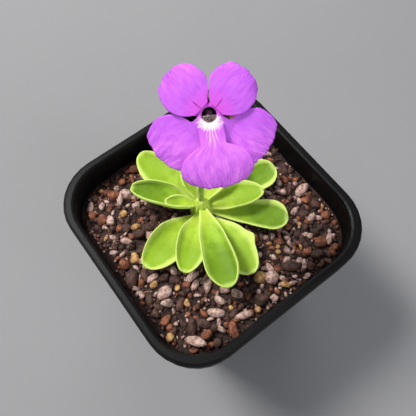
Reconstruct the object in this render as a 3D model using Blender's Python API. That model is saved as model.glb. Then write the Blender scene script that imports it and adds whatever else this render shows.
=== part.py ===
"""Butterwort in flower, growing in a small square pot filled with gritty compost.

Metres, +Z up. The origin is the centre of the pot's base, and the pot's sides face along X and Y.
Sizes are written in millimetres at the top and turned into metres where a mesh is made.
"""

import math
import random

import bpy
from mathutils import Vector

MM = 0.001

# The gap that neighbouring pieces keep where they touch
GAP = 0.3

# Pot: a tapered rounded square with a collar at the top and a recessed floor
POT_WIDTH = 70.0
POT_HEIGHT = 65.0
POT_FOOT_WIDTH = 50.0
POT_CORNER = 15.0
POT_WALL = 1.3
COLLAR_DEPTH = 8.0
COLLAR_STEP = 1.5
LIP_WIDTH = 2.6
FLOOR_TOP = 3.6
FLOOR_UNDERSIDE = 2.0
FOOT_WIDTH = 2.2
DRAIN_RADIUS = 3.2
DRAIN_SPACING = 13.0
CORNER_STEPS = 8

# Compost: its mean surface lies this far under the rim, and grains stand out of it
SOIL_DEPTH_UNDER_RIM = 7.4
GRAIN_SPACING = 3.7
GRAIN_HEIGHT = 1.35
SOIL_RINGS = 20
SOIL_SEED = 5

# Rosette: the crown is the short stem that every leaf and the flower stalk grow from
CROWN_X = -0.2
CROWN_Y = 4.2
CROWN_BASE = POT_HEIGHT - SOIL_DEPTH_UNDER_RIM - 1.2
CROWN_TOP = CROWN_BASE + 8.6
CROWN_RADIUS = 2.6
CROWN_TOP_RADIUS = 1.1
ROOT_LENGTH = 26.0
ROOT_COUNT = 6
ROOT_RADIUS = 0.55
ROOT_SPREAD = 2.3
ROOT_HOLE_RADIUS = 3.6

LEAF_THICKNESS = 0.9
LEAF_ROOT_HALF = 0.85
LEAF_CUP = 1.7
LEAF_SPOON = 0.9
NOTCH_PLACE = 0.62
NOTCH_SPREAD = 0.07
LEAF_STATIONS = 10
LEAF_STRIPS = 8

# Flower: its throat, and the way that it faces, up and towards the front left
THROAT = Vector((1.0, 0.5, POT_HEIGHT + 47.0))
FACE_AZIMUTH = math.radians(-35.5)
FACE_ELEVATION = math.radians(48.0)
THROAT_RADIUS = 1.45
TUBE_WALL = 0.7
TUBE_LENGTH = 5.0
THROAT_DEPTH = 4.2
SPUR_LENGTH = 8.0
PETAL_THICKNESS = 0.62
STALK_RADIUS = 0.75
STALK_TOP_RADIUS = 0.55


def clear_scene():
    for obj in list(bpy.data.objects):
        bpy.data.objects.remove(obj)


def material(name, colour, roughness):
    made = bpy.data.materials.new(name)
    made.use_nodes = True
    shader = made.node_tree.nodes["Principled BSDF"]
    shader.inputs["Base Color"].default_value = (*colour, 1.0)
    shader.inputs["Roughness"].default_value = roughness
    shader.inputs["Metallic"].default_value = 0.0
    return made


def add_mesh(name, points, faces, finish, place=Vector((0.0, 0.0, 0.0))):
    """An object whose points are given in millimetres about its own origin, which is put at place."""
    mesh = bpy.data.meshes.new(name)
    mesh.from_pydata([Vector(point) * MM for point in points], [], faces)
    mesh.materials.append(finish)
    mesh.shade_smooth()
    mesh.set_sharp_from_angle(angle=math.radians(40.0))
    obj = bpy.data.objects.new(name, mesh)
    obj.location = place * MM
    bpy.context.scene.collection.objects.link(obj)
    return obj


def ring_faces(first, second, count):
    """Quads between two rings of points that start at these indices."""
    faces = []
    for i in range(count):
        after = (i + 1) % count
        faces.append((first + i, first + after, second + after, second + i))
    return faces


def loft(name, rings, finish, place=Vector((0.0, 0.0, 0.0))):
    """A closed solid through rings of equal point counts, with a flat cap at each end."""
    count = len(rings[0])
    points = [point for ring in rings for point in ring]
    faces = [tuple(reversed(range(count)))]
    for i in range(len(rings) - 1):
        faces += ring_faces(i * count, (i + 1) * count, count)
    last = (len(rings) - 1) * count
    faces.append(tuple(range(last, last + count)))
    return add_mesh(name, points, faces, finish, place)


def rounded_square(half, corner, z):
    """Points anticlockwise round a square of this half width and corner radius."""
    points = []
    for quarter in range(4):
        turn = quarter * math.pi / 2
        centre = Vector((half - corner, half - corner, 0.0))
        for step in range(CORNER_STEPS + 1):
            angle = step * math.pi / 2 / CORNER_STEPS
            local = centre + corner * Vector((math.cos(angle), math.sin(angle), 0.0))
            x = local.x * math.cos(turn) - local.y * math.sin(turn)
            y = local.x * math.sin(turn) + local.y * math.cos(turn)
            points.append(Vector((x, y, z)))
    return points


def wall_half_width(z):
    """Half width of the pot's outer wall, without its collar, at a height."""
    foot = POT_FOOT_WIDTH / 2
    top = POT_WIDTH / 2 - COLLAR_STEP
    return foot + (top - foot) * z / (POT_HEIGHT - COLLAR_DEPTH)


def inner_half_width(z):
    """Half width of the pot's inner wall at a height."""
    straight = wall_half_width(z) - POT_WALL
    return min(straight, POT_WIDTH / 2 - LIP_WIDTH - 0.2)


def pot_ring(half, z):
    return rounded_square(half, POT_CORNER * half / (POT_WIDTH / 2), z)


def boolean(obj, operation, other=None, collection=None):
    cut = obj.modifiers.new(operation.title(), "BOOLEAN")
    cut.operation = operation
    if collection:
        cut.operand_type = "COLLECTION"
        cut.collection = collection
    else:
        cut.object = other
    return cut


def cutter_cylinder(name, x, y, low, high, radius, finish, sides=20):
    rings = []
    for z in (low, high):
        ring = []
        for i in range(sides):
            angle = 2 * math.pi * i / sides
            ring.append(Vector((x + radius * math.cos(angle), y + radius * math.sin(angle), z)))
        rings.append(ring)
    cutter = loft(name, rings, finish)
    cutter.hide_render = True
    cutter.display_type = "WIRE"
    return cutter


def make_pot(finish):
    """The wall runs from the foot ring up the outside, over the lip and down the inside to the floor."""
    rim = POT_WIDTH / 2
    under_collar = POT_HEIGHT - COLLAR_DEPTH
    profile = [
        (POT_FOOT_WIDTH / 2 - FOOT_WIDTH, FLOOR_UNDERSIDE),
        (POT_FOOT_WIDTH / 2 - FOOT_WIDTH, 0.0),
        (POT_FOOT_WIDTH / 2, 0.0),
        (wall_half_width(under_collar), under_collar),
        (rim - 0.2, under_collar + 0.5),
        (rim, POT_HEIGHT - 0.8),
        (rim - 0.25, POT_HEIGHT - 0.2),
        (rim - 0.8, POT_HEIGHT),
        (rim - LIP_WIDTH + 0.6, POT_HEIGHT),
        (rim - LIP_WIDTH + 0.1, POT_HEIGHT - 0.3),
        (rim - LIP_WIDTH - 0.2, POT_HEIGHT - 1.2),
        (inner_half_width(under_collar), under_collar),
        (inner_half_width(FLOOR_TOP), FLOOR_TOP),
    ]
    pot = loft("pot", [pot_ring(half, z) for half, z in profile], finish)
    spots = [(0.0, 0.0)]
    for side_x in (-1, 1):
        for side_y in (-1, 1):
            spots.append((side_x * DRAIN_SPACING, side_y * DRAIN_SPACING))
    for number, (x, y) in enumerate(spots):
        drain = cutter_cylinder(f"drain_{number}", x, y, 0.5, FLOOR_TOP + 2.0, DRAIN_RADIUS, finish)
        boolean(pot, "DIFFERENCE", drain)
    return pot


def grain_centres(half):
    """Where grains lie: a staggered grid, each grain shifted and sized by a seeded draw."""
    draw = random.Random(SOIL_SEED)
    rows = int(2 * half / (GRAIN_SPACING * 0.87)) + 2
    centres = []
    for row in range(rows):
        for column in range(rows):
            x = -half + (column + 0.5 * (row % 2)) * GRAIN_SPACING + draw.uniform(-0.8, 0.8)
            y = -half + row * GRAIN_SPACING * 0.87 + draw.uniform(-0.8, 0.8)
            radius = GRAIN_SPACING * draw.uniform(0.42, 0.68)
            height = GRAIN_HEIGHT * draw.uniform(0.45, 1.0)
            centres.append((x, y, radius, height))
    return centres


def soil_relief(x, y, centres):
    """Height of the grain that stands highest at a point, above the ground between the grains."""
    best = 0.0
    for grain_x, grain_y, radius, height in centres:
        away = math.hypot(x - grain_x, y - grain_y) / radius
        if away < 1.0:
            best = max(best, height * math.sqrt(1.0 - away * away))
    return best


def make_compost(finish):
    """One block that fills the pot, with grains raised from its top by a formula and a hole for the roots."""
    ground = POT_HEIGHT - SOIL_DEPTH_UNDER_RIM - GRAIN_HEIGHT / 2
    top_half = inner_half_width(ground) - GAP
    low = FLOOR_TOP + GAP
    centres = grain_centres(top_half)
    outline = []
    corners = pot_ring(top_half, ground)
    for i, point in enumerate(corners):
        after = corners[(i + 1) % len(corners)]
        parts = 14 if (after - point).length > 10.0 else 1
        for part in range(parts):
            outline.append(point.lerp(after, part / parts))
    count = len(outline)
    points = []
    for point in outline:
        shrink = (inner_half_width(low) - GAP) / top_half
        points.append(Vector((point.x * shrink, point.y * shrink, low)))
    hole = []
    for point in outline:
        away = Vector((point.x - CROWN_X, point.y - CROWN_Y, 0.0)).normalized() * ROOT_HOLE_RADIUS
        hole.append(Vector((CROWN_X + away.x, CROWN_Y + away.y, 0.0)))
    for ring in range(SOIL_RINGS + 1):
        share = ring / SOIL_RINGS
        for point, near in zip(outline, hole):
            x = point.x + (near.x - point.x) * share
            y = point.y + (near.y - point.y) * share
            fade = min(1.0, share * 8.0, (1.0 - share) * 8.0)
            points.append(Vector((x, y, ground + fade * soil_relief(x, y, centres))))
    hole_floor = CROWN_BASE - ROOT_LENGTH - GAP
    for near in hole:
        points.append(Vector((near.x, near.y, hole_floor)))
    faces = [tuple(reversed(range(count)))]
    for ring in range(len(points) // count - 1):
        faces += ring_faces(ring * count, (ring + 1) * count, count)
    last = len(points) - count
    faces.append(tuple(range(last, last + count)))
    return add_mesh("compost", points, faces, finish)


def tube_rings(path, radii, sides):
    """Rings of points round a path, each turned as little as possible from the one before."""
    rings = []
    across = None
    for i, point in enumerate(path):
        ahead = path[min(i + 1, len(path) - 1)]
        behind = path[max(i - 1, 0)]
        along = (ahead - behind).normalized()
        if across is None:
            across = along.orthogonal().normalized()
        across = (across - along * across.dot(along)).normalized()
        other = along.cross(across)
        ring = []
        for side in range(sides):
            angle = 2 * math.pi * side / sides
            reach = radii[i]
            ring.append(point + across * reach * math.cos(angle) + other * reach * math.sin(angle))
        rings.append(ring)
    return rings


def smooth_path(knots, steps):
    """Points on a smooth curve that passes through every knot."""
    path = []
    for i in range(len(knots) - 1):
        before = knots[max(i - 1, 0)]
        start = knots[i]
        end = knots[i + 1]
        after = knots[min(i + 2, len(knots) - 1)]
        for step in range(steps):
            t = step / steps
            a = 2 * start
            b = (end - before) * t
            c = (2 * before - 5 * start + 4 * end - after) * t * t
            d = (3 * start - before - 3 * end + after) * t * t * t
            path.append((a + b + c + d) / 2)
    path.append(knots[-1])
    return path


def fuse(name, objects):
    """One object from several that overlap: a single Boolean union, applied, and the others removed."""
    first = objects[0]
    first.name = name
    first.data.name = name
    group = bpy.data.collections.new(name + "_pieces")
    bpy.context.scene.collection.children.link(group)
    for other in objects[1:]:
        group.objects.link(other)
    boolean(first, "UNION", collection=group)
    bpy.context.view_layer.update()
    graph = bpy.context.evaluated_depsgraph_get()
    joined = bpy.data.meshes.new_from_object(first.evaluated_get(graph))
    first.modifiers.clear()
    first.data = joined
    for other in objects[1:]:
        bpy.data.objects.remove(other)
    bpy.data.collections.remove(group)
    return first


def crown_radius(z):
    share = (z - CROWN_BASE) / (CROWN_TOP - CROWN_BASE)
    return CROWN_RADIUS + (CROWN_TOP_RADIUS - CROWN_RADIUS) * max(0.0, min(1.0, share))


def make_crown(finish):
    """The short stem with a few unbranched roots, which hang in a plain hole in the compost."""
    axis = Vector((CROWN_X, CROWN_Y, 0.0))
    heights = [CROWN_BASE - 3.0, CROWN_BASE - 1.5, CROWN_BASE, CROWN_TOP - 1.0, CROWN_TOP]
    radii = [1.4, 2.4, CROWN_RADIUS, crown_radius(CROWN_TOP - 1.0), CROWN_TOP_RADIUS * 0.7]
    path = [axis + Vector((0.0, 0.0, z)) for z in heights]
    pieces = [loft("stem", tube_rings(path, radii, 18), finish)]
    for number in range(ROOT_COUNT):
        angle = 2 * math.pi * number / ROOT_COUNT
        out = Vector((math.cos(angle), math.sin(angle), 0.0))
        length = ROOT_LENGTH * (1.0 - 0.12 * (number % 3))
        knots = [
            axis + out * 0.9 + Vector((0.0, 0.0, CROWN_BASE - 1.0)),
            axis + out * 1.6 + Vector((0.0, 0.0, CROWN_BASE - 0.25 * length)),
            axis + out * ROOT_SPREAD + Vector((0.0, 0.0, CROWN_BASE - 0.6 * length)),
            axis + out * (ROOT_SPREAD + 0.3) + Vector((0.0, 0.0, CROWN_BASE - length)),
        ]
        root = smooth_path(knots, 3)
        thin = [ROOT_RADIUS * (1.0 - 0.4 * i / (len(root) - 1)) for i in range(len(root))]
        pieces.append(loft(f"root_{number}", tube_rings(root, thin, 6), finish))
    return fuse("crown_and_roots", pieces)


def blade(name, surface, thickness, stations, strips, finish, place=Vector((0.0, 0.0, 0.0))):
    """A thin solid about surface(u, v), with u from 0 at the root to 1 at the tip and v from -1 to 1.

    Both faces are split into triangles alike, so that a curled blade never crosses itself.
    """
    step = 0.002
    top = []
    under = []
    for i in range(stations + 1):
        u = i / stations
        for j in range(strips + 1):
            v = -1.0 + 2.0 * j / strips
            point = surface(u, v)
            low_u = max(0.0, u - step)
            high_u = min(1.0, u + step)
            low_v = max(-1.0, v - step)
            high_v = min(1.0, v + step)
            along = surface(high_u, v) - surface(low_u, v)
            across = surface(u, high_v) - surface(u, low_v)
            normal = along.cross(across).normalized()
            half = thickness(u, v) / 2
            top.append(point + normal * half)
            under.append(point - normal * half)
    count = len(top)
    row = strips + 1
    faces = []
    for i in range(stations):
        for j in range(strips):
            a = i * row + j
            b = a + 1
            c = a + row + 1
            d = a + row
            faces += [(a, b, c), (a, c, d)]
            faces += [(count + a, count + c, count + b), (count + a, count + d, count + c)]
    for i in range(stations):
        a = i * row
        b = a + row
        faces += [(a, b, count + b), (a, count + b, count + a)]
        a = i * row + strips
        b = a + row
        faces += [(a, count + a, count + b), (a, count + b, b)]
    for j in range(strips):
        a = j
        faces += [(a, count + a, count + a + 1), (a, count + a + 1, a + 1)]
        a = stations * row + j
        faces += [(a, a + 1, count + a + 1), (a, count + a + 1, count + a)]
    flipped = [tuple(reversed(face)) for face in faces]
    return add_mesh(name, top + under, flipped, finish, place)


def leaf_outline(u, base_share, widest):
    """Half width of a spoon-shaped leaf as a share of its greatest: narrow root, round tip."""
    if u < widest:
        t = u / widest
        return base_share + (1.0 - base_share) * math.sin(math.pi / 2 * t) ** 1.3
    t = (u - widest) / (1.0 - widest)
    return max(0.0, 1.0 - t ** 1.95) ** 0.6 * 0.94 + 0.06


def leaf_surface(leaf):
    """The middle surface of one leaf: an arched centre line, with margins that roll up and in."""
    azimuth = math.radians(leaf["azimuth"])
    out = Vector((math.cos(azimuth), math.sin(azimuth), 0.0))
    side = Vector((-math.sin(azimuth), math.cos(azimuth), 0.0))
    up = Vector((0.0, 0.0, 1.0))
    root = crown_radius(leaf["height"]) + 1.6 * GAP
    reach = leaf["length"] - root
    root_half = leaf.get("root", LEAF_ROOT_HALF)
    slices = 12

    def surface(u, v):
        outline = leaf_outline(u, root_half / leaf["width"] * 2, leaf.get("widest", 0.55))
        half = leaf["width"] / 2 * outline
        rise = leaf["rise"] * reach * u - leaf["droop"] * reach * u * u
        slope = leaf["rise"] - 2.0 * leaf["droop"] * u
        tilt = math.atan(slope)
        roll = math.radians(leaf["curl"]) * (0.35 + 0.65 * min(1.0, u / 0.5))
        if v > 0:
            roll *= leaf.get("left_curl", 1.0)
            half += leaf.get("bump", 0.0) * math.exp(-(((u - NOTCH_PLACE) / NOTCH_SPREAD) ** 2)) * v * v
        else:
            roll *= leaf.get("right_curl", 1.0)
        sideways = 0.0
        lifted = 0.0
        for i in range(slices):
            share = abs(v) * (i + 0.5) / slices
            angle = roll * share ** LEAF_CUP
            sideways += math.cos(angle) * abs(v) / slices
            lifted += math.sin(angle) * abs(v) / slices
        normal = up * math.cos(tilt) - out * math.sin(tilt)
        spoon = LEAF_SPOON * max(0.0, (u - 0.8) / 0.2) ** 2 * leaf["width"] / 10.0
        point = out * (root + reach * u) + up * rise
        point += side * math.copysign(sideways * half, v)
        point += normal * (lifted * half + spoon)
        return point

    return surface


def leaf_thickness(u, v):
    return LEAF_THICKNESS * (1.0 - 0.3 * v * v) * (1.0 - 0.2 * u)


# Each leaf: way it points, height of its root, length, flat width, rise and droop, roll of its margins
LEAVES = [
    dict(name="leaf_back_left", azimuth=102, height=57.9, length=25.5, width=11.6, rise=0.32, droop=0.17,
         curl=95, left_curl=0.35, right_curl=0.7),
    dict(name="leaf_left_front", azimuth=193, height=57.9, length=24.6, width=12.4, rise=0.26, droop=0.15,
         curl=88, left_curl=0.35),
    dict(name="leaf_front_right", azimuth=268.5, height=57.9, length=25.5, width=12.3, rise=0.27, droop=0.15,
         curl=70, right_curl=0.35, left_curl=0.7, bump=1.3),
    dict(name="leaf_right", azimuth=313, height=57.9, length=25.8, width=10.5, rise=0.26, droop=0.15,
         curl=70, left_curl=0.35, widest=0.8),
    dict(name="leaf_right_back", azimuth=352, height=57.9, length=25.5, width=9.9, rise=0.28, droop=0.15,
         curl=85, right_curl=0.35, left_curl=0.8, widest=0.8),
    dict(name="leaf_back_right", azimuth=38, height=57.9, length=24.5, width=12.0, rise=0.28, droop=0.15,
         curl=80, right_curl=0.45, left_curl=0.45),
    dict(name="leaf_left_upper", azimuth=132, height=60.2, length=21.0, width=10.8, rise=0.38, droop=0.16,
         curl=118, root=1.25),
    dict(name="leaf_front_left", azimuth=221, height=60.0, length=21.8, width=10.6, rise=0.34, droop=0.17,
         curl=95, left_curl=0.4, root=1.25),
    dict(name="leaf_front", azimuth=250, height=62.2, length=27.2, width=12.8, rise=0.31, droop=0.17,
         curl=88, left_curl=1.45, root=1.25, widest=0.76),
    dict(name="leaf_right_upper", azimuth=332, height=60.4, length=18.5, width=10.0, rise=0.40, droop=0.16,
         curl=92, left_curl=0.7, root=1.25),
    dict(name="leaf_back", azimuth=63, height=60.4, length=21.5, width=10.6, rise=0.40, droop=0.16,
         curl=80, root=1.25),
    dict(name="leaf_back_upper", azimuth=18, height=62.4, length=17.0, width=9.4, rise=0.55, droop=0.18,
         curl=80, root=1.25),
    dict(name="leaf_young_left", azimuth=150, height=62.9, length=10.4, width=5.4, rise=0.62, droop=0.25,
         curl=115, root=1.0),
    dict(name="leaf_young_back", azimuth=92, height=64.2, length=8.6, width=4.6, rise=0.85, droop=0.25,
         curl=100, root=1.0),
]


def make_leaves(finish):
    made = []
    for leaf in LEAVES:
        place = Vector((CROWN_X, CROWN_Y, leaf["height"]))
        surface = leaf_surface(leaf)
        made.append(blade(leaf["name"], surface, leaf_thickness, LEAF_STATIONS, LEAF_STRIPS, finish, place))
    return made


def flower_axes():
    """Right, up and forward for someone who looks straight into the flower."""
    level = math.cos(FACE_ELEVATION)
    forward = Vector((
        math.sin(FACE_AZIMUTH) * level,
        -math.cos(FACE_AZIMUTH) * level,
        math.sin(FACE_ELEVATION),
    ))
    right = Vector((math.cos(FACE_AZIMUTH), math.sin(FACE_AZIMUTH), 0.0))
    return right, forward.cross(right), forward


def in_flower(x, y, z):
    """A point given in the flower's own axes, in millimetres from its throat."""
    right, up, forward = flower_axes()
    return right * x + up * y + forward * z


# Lobes of the corolla as seen from the front: where each points, how far it reaches from the throat
LOBES = [
    dict(name="upper_left", angle=134, reach=11.4, width=10.0, lift=-0.3, arch=0.5, droop=0.7,
         neck=1.9, blunt=0.44, side=-1),
    dict(name="upper_right", angle=45.5, reach=11.25, width=10.1, lift=-0.3, arch=0.5, droop=0.7,
         neck=1.9, blunt=0.44, side=1),
    dict(name="side_left", angle=218.5, reach=13.7, width=12.2, lift=-1.3, arch=0.5, droop=0.2,
         neck=1.1, blunt=0.42, middle=8.6, shoulder=4.9),
    dict(name="side_right", angle=329.5, reach=14.2, width=12.1, lift=-1.3, arch=0.5, droop=0.2,
         neck=1.1, blunt=0.4, middle=9.2, shoulder=4.9),
    dict(name="lower", angle=277.5, reach=15.2, width=15.1, lift=0.4, arch=0.5, droop=0.6,
         neck=2.6, blunt=0.45, middle=10.75, shoulder=4.9),
]
LOBE_STATIONS = 8
LOBE_STRIPS = 12
LOBE_ROOT = 1.9
LOBE_WAVE = 0.12
LOBE_RUFFLE = 0.14
SLIT_HALF = 0.25
SLIT_BEND = 1.15


def keep_to_side(x, side):
    """Bends the inner edge of an upper lobe straight, so that a narrow slit stays between the two."""
    away = x * side
    if away > SLIT_BEND:
        return x
    room = SLIT_BEND - SLIT_HALF
    return side * (SLIT_HALF + room * math.exp((away - SLIT_BEND) / room))


def lobe_surface(lobe):
    """The middle surface of one lobe: rounded, or for the lower one a fan on a neck, with a wavy edge."""
    angle = math.radians(lobe["angle"])
    neck = lobe["neck"]
    reach = lobe["reach"] - LOBE_ROOT
    broad = lobe["width"] / 2
    middle = lobe.get("middle", LOBE_ROOT + reach / 2)
    shoulder = lobe.get("shoulder", middle - LOBE_ROOT)
    blunt = lobe["blunt"]
    phase = lobe["angle"] * 0.7

    def surface(u, v):
        far = LOBE_ROOT + reach * u
        if far < middle:
            swell = max(0.0, 1.0 - ((middle - far) / shoulder) ** 2) ** 0.6
            half = math.hypot(neck, math.sqrt(broad * broad - neck * neck) * swell)
        else:
            share = (far - middle) / (lobe["reach"] - middle)
            half = broad * math.sqrt(1.0 - blunt * share * share)
            far = middle + (lobe["reach"] - middle) * share * math.sqrt(1.0 - blunt * v * v)
        far += LOBE_WAVE * math.sin(9.0 * v + phase) * u ** 8
        height = lobe["lift"] * min(1.0, u / 0.3)
        height += lobe["arch"] * math.sin(math.pi * u) - lobe["droop"] * (v * v * u + u ** 4)
        height += LOBE_RUFFLE * math.sin(6.5 * v + phase * 1.7) * u ** 5
        x = far * math.cos(angle) - half * v * math.sin(angle)
        y = far * math.sin(angle) + half * v * math.cos(angle)
        if "side" in lobe:
            x = keep_to_side(x, lobe["side"])
        return in_flower(x, y, height)

    return surface


def lobe_thickness(u, v):
    return PETAL_THICKNESS * (1.0 + 0.5 * (1.0 - u) ** 3)


def spur_path():
    """The tube runs straight back from the throat, then narrows to a spur that turns down."""
    right, up, forward = flower_axes()
    knots = [
        forward * -1.0,
        forward * -TUBE_LENGTH * 0.6,
        forward * -TUBE_LENGTH - up * 0.35,
        forward * -(TUBE_LENGTH + SPUR_LENGTH * 0.35) - up * 1.5,
        forward * -(TUBE_LENGTH + SPUR_LENGTH * 0.68) - up * 3.0,
        forward * -(TUBE_LENGTH + SPUR_LENGTH * 0.98) - up * 4.4,
    ]
    return smooth_path(knots, 3)


def make_corolla(finish):
    """Tube, spur and five lobes, which grew as one piece and are joined here as one."""
    sides = 16
    outer = THROAT_RADIUS + TUBE_WALL
    right, up, forward = flower_axes()
    path = spur_path()
    body = [outer - 0.05 * i for i in range(6)]
    spur = [1.6, 1.25, 1.05, 0.9, 0.8, 0.72, 0.65, 0.58, 0.52, 0.45]
    radii = (body + spur)[: len(path)]
    rings = tube_rings(list(reversed(path)), list(reversed(radii)), sides)
    widen = (outer + 0.35) / radii[0]
    centre = path[0]
    mouth = [centre + (point - centre) * widen + forward * 1.0 for point in rings[-1]]
    rings.append(mouth)
    lip = [(THROAT_RADIUS + 0.3, 0.25), (THROAT_RADIUS, -0.8), (THROAT_RADIUS - 0.1, -THROAT_DEPTH)]
    for inner, depth in lip:
        ring = []
        for point in mouth:
            spoke = point - forward * point.dot(forward)
            ring.append(spoke.normalized() * inner + forward * depth)
        rings.append(ring)
    pieces = [loft("tube", rings, finish, THROAT)]
    for lobe in LOBES:
        surface = lobe_surface(lobe)
        pieces.append(
            blade(lobe["name"], surface, lobe_thickness, LOBE_STATIONS, LOBE_STRIPS, finish, THROAT)
        )
    return fuse("corolla", pieces)


def dome(name, centre, radius, flat, finish, place, sides=10, levels=5):
    """A closed rounded body, flattened along the flower's forward axis."""
    rings = []
    for level in range(levels):
        angle = math.pi * (level + 0.5) / levels - math.pi / 2
        ring = []
        for side in range(sides):
            turn = 2 * math.pi * side / sides
            x = centre[0] + radius * math.cos(angle) * math.cos(turn)
            y = centre[1] + radius * math.cos(angle) * math.sin(turn)
            z = centre[2] + radius * flat * math.sin(angle)
            ring.append(in_flower(x, y, z))
        rings.append(ring)
    return loft(name, rings, finish, place)


def make_pistil(finish):
    """Ovary at the back of the tube, a short style, and the stigma's lobe that roofs the throat."""
    back = -(THROAT_DEPTH - GAP)
    knots = [in_flower(0.0, 0.0, back), in_flower(0.0, 0.15, back + 1.4), in_flower(0.0, 0.35, -1.3)]
    radii = [0.6, 0.6, 0.5, 0.4, 0.38, 0.38, 0.4]
    style = loft("style", tube_rings(smooth_path(knots, 3), radii, 8), finish, THROAT)
    stigma = dome("stigma", (0.0, 0.25, -1.3), 0.8, 0.55, finish, THROAT)
    return fuse("pistil", [style, stigma])


RECEPTACLE = (0.0, 1.7, -(TUBE_LENGTH + 2.6))
RECEPTACLE_RADIUS = 1.15
SEPALS = [
    dict(turn=90, length=3.6),
    dict(turn=46, length=3.4),
    dict(turn=134, length=3.4),
    dict(turn=0, length=3.0),
    dict(turn=180, length=3.0),
]


def make_calyx(finish):
    """A small cup behind the tube with five sepals, which lie along the tube without touching it."""
    pieces = [dome("cup", RECEPTACLE, RECEPTACLE_RADIUS, 0.9, finish, THROAT, sides=12)]
    clear = THROAT_RADIUS + TUBE_WALL + GAP + 0.35
    for number, sepal in enumerate(SEPALS):
        turn = math.radians(sepal["turn"])

        def surface(u, v, turn=turn, length=sepal["length"]):
            back = RECEPTACLE[2] + 0.3 + length * u * 1.25
            spread = min(1.0, u / 0.34)
            eased = spread * spread * (3.0 - 2.0 * spread)
            half = 0.55 + 0.42 * math.sin(math.pi * min(1.0, u * 1.05)) - 0.15 * u
            x = math.cos(turn) * clear * eased - math.sin(turn) * half * v
            y = math.sin(turn) * clear * eased + math.cos(turn) * half * v
            y += RECEPTACLE[1] * (1.0 - eased)
            return in_flower(x, y, back)

        pieces.append(blade(f"sepal_{number}", surface, lambda u, v: 0.62, 6, 4, finish, THROAT))
    return fuse("calyx", pieces)


def make_stalk(finish):
    """The bare flower stalk: up from the crown, leaning a little, and bent over behind the flower."""
    joint = in_flower(RECEPTACLE[0], RECEPTACLE[1], RECEPTACLE[2])
    right, up, forward = flower_axes()
    level = (forward - Vector((0.0, 0.0, forward.z))).normalized()
    start = Vector((CROWN_X, CROWN_Y, CROWN_TOP + 1.7 * GAP))
    end = THROAT + joint - forward * (RECEPTACLE_RADIUS * 0.9 + GAP)
    behind = end - level * 1.9 - Vector((0.0, 0.0, 1.5))
    below = end - level * 2.5 - Vector((0.0, 0.0, 6.0))
    knots = [
        start,
        start.lerp(below, 0.3) + right * -0.5 - level * 0.5,
        start.lerp(below, 0.65) + right * -0.3 - level * 0.6,
        below,
        behind,
        end,
    ]
    path = smooth_path(knots, 4)
    last = len(path) - 1
    radii = [STALK_RADIUS + (STALK_TOP_RADIUS - STALK_RADIUS) * i / last for i in range(len(path))]
    return loft("flower_stalk", tube_rings(path, radii, 10), finish)


def main():
    clear_scene()
    black = material("black_plastic", (0.012, 0.012, 0.013), 0.45)
    grit = material("compost", (0.13, 0.07, 0.05), 0.95)
    green = material("leaf_green", (0.42, 0.62, 0.08), 0.42)
    pale = material("crown_pale", (0.55, 0.62, 0.25), 0.5)
    stem = material("stalk_green", (0.28, 0.38, 0.10), 0.5)
    violet = material("corolla_violet", (0.52, 0.11, 0.80), 0.5)
    dark = material("pistil_purple", (0.16, 0.04, 0.20), 0.5)
    make_pot(black)
    make_compost(grit)
    make_crown(pale)
    make_leaves(green)
    make_corolla(violet)
    make_pistil(dark)
    make_calyx(stem)
    make_stalk(stem)


main()
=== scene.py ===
# %% [markdown]
# # A butterwort in flower, in a small black nursery pot
# The CAD model of this plant is plain: closed solids of the right size in the right places.
# This lesson dresses it. Each step explains one real part or one finish, how it could be made,
# and why this way was chosen. The cell after it makes that one thing and prints what it made.

# %% Load the frame
import math
import random

import bmesh
import bpy
import numpy as np
from mathutils import Matrix, Vector, noise


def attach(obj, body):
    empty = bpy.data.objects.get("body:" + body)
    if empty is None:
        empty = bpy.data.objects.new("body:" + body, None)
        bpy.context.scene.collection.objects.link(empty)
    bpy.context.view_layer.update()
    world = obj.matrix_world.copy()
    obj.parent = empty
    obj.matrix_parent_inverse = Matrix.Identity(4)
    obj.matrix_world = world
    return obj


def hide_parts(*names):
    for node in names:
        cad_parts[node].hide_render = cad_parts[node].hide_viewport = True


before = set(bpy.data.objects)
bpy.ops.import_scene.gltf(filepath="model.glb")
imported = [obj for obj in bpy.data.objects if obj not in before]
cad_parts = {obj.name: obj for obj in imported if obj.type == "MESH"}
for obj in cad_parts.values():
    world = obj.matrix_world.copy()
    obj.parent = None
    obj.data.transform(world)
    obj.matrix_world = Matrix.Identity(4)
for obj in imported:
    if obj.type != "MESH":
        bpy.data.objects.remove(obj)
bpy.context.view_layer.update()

# %% [markdown]
# ## Dimensions
# A plant is easiest to think about in millimetres, so every size is written that way.
# They are turned into metres only when a mesh is made. The pot is the common 70 mm square kind.

# %% Name the driving sizes
MM = 0.001
POT_WIDTH = 70.0
POT_HEIGHT = 65.0
POT_FOOT_WIDTH = 50.0
POT_CORNER = 15.0
POT_WALL = 1.3
COLLAR_STEP = 1.5
COLLAR_DEPTH = 8.0
LIP_WIDTH = 2.6
LIP_INSET = 0.2
GROUND = POT_HEIGHT - 8.1
CROWN = Vector((-0.2, 4.2, 0.0))
CROWN_BASE = POT_HEIGHT - 8.6
CROWN_TOP = CROWN_BASE + 8.6
THROAT = Vector((1.0, 0.5, POT_HEIGHT + 47.0))
FACE_AZIMUTH = math.radians(-35.5)
FACE_ELEVATION = math.radians(48.0)
THROAT_RADIUS = 1.45
TUBE_LENGTH = 5.0
TUBE_WALL = 0.7
print("the throat of the flower is", THROAT.z, "mm above the floor")

# %% [markdown]
# ## One way to make a piece
# Every visible piece is a mesh worked out in code. This helper scales it to metres and smooths it.
# It then ties the piece to the pot's body and says which solids the piece stands in for.


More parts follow.
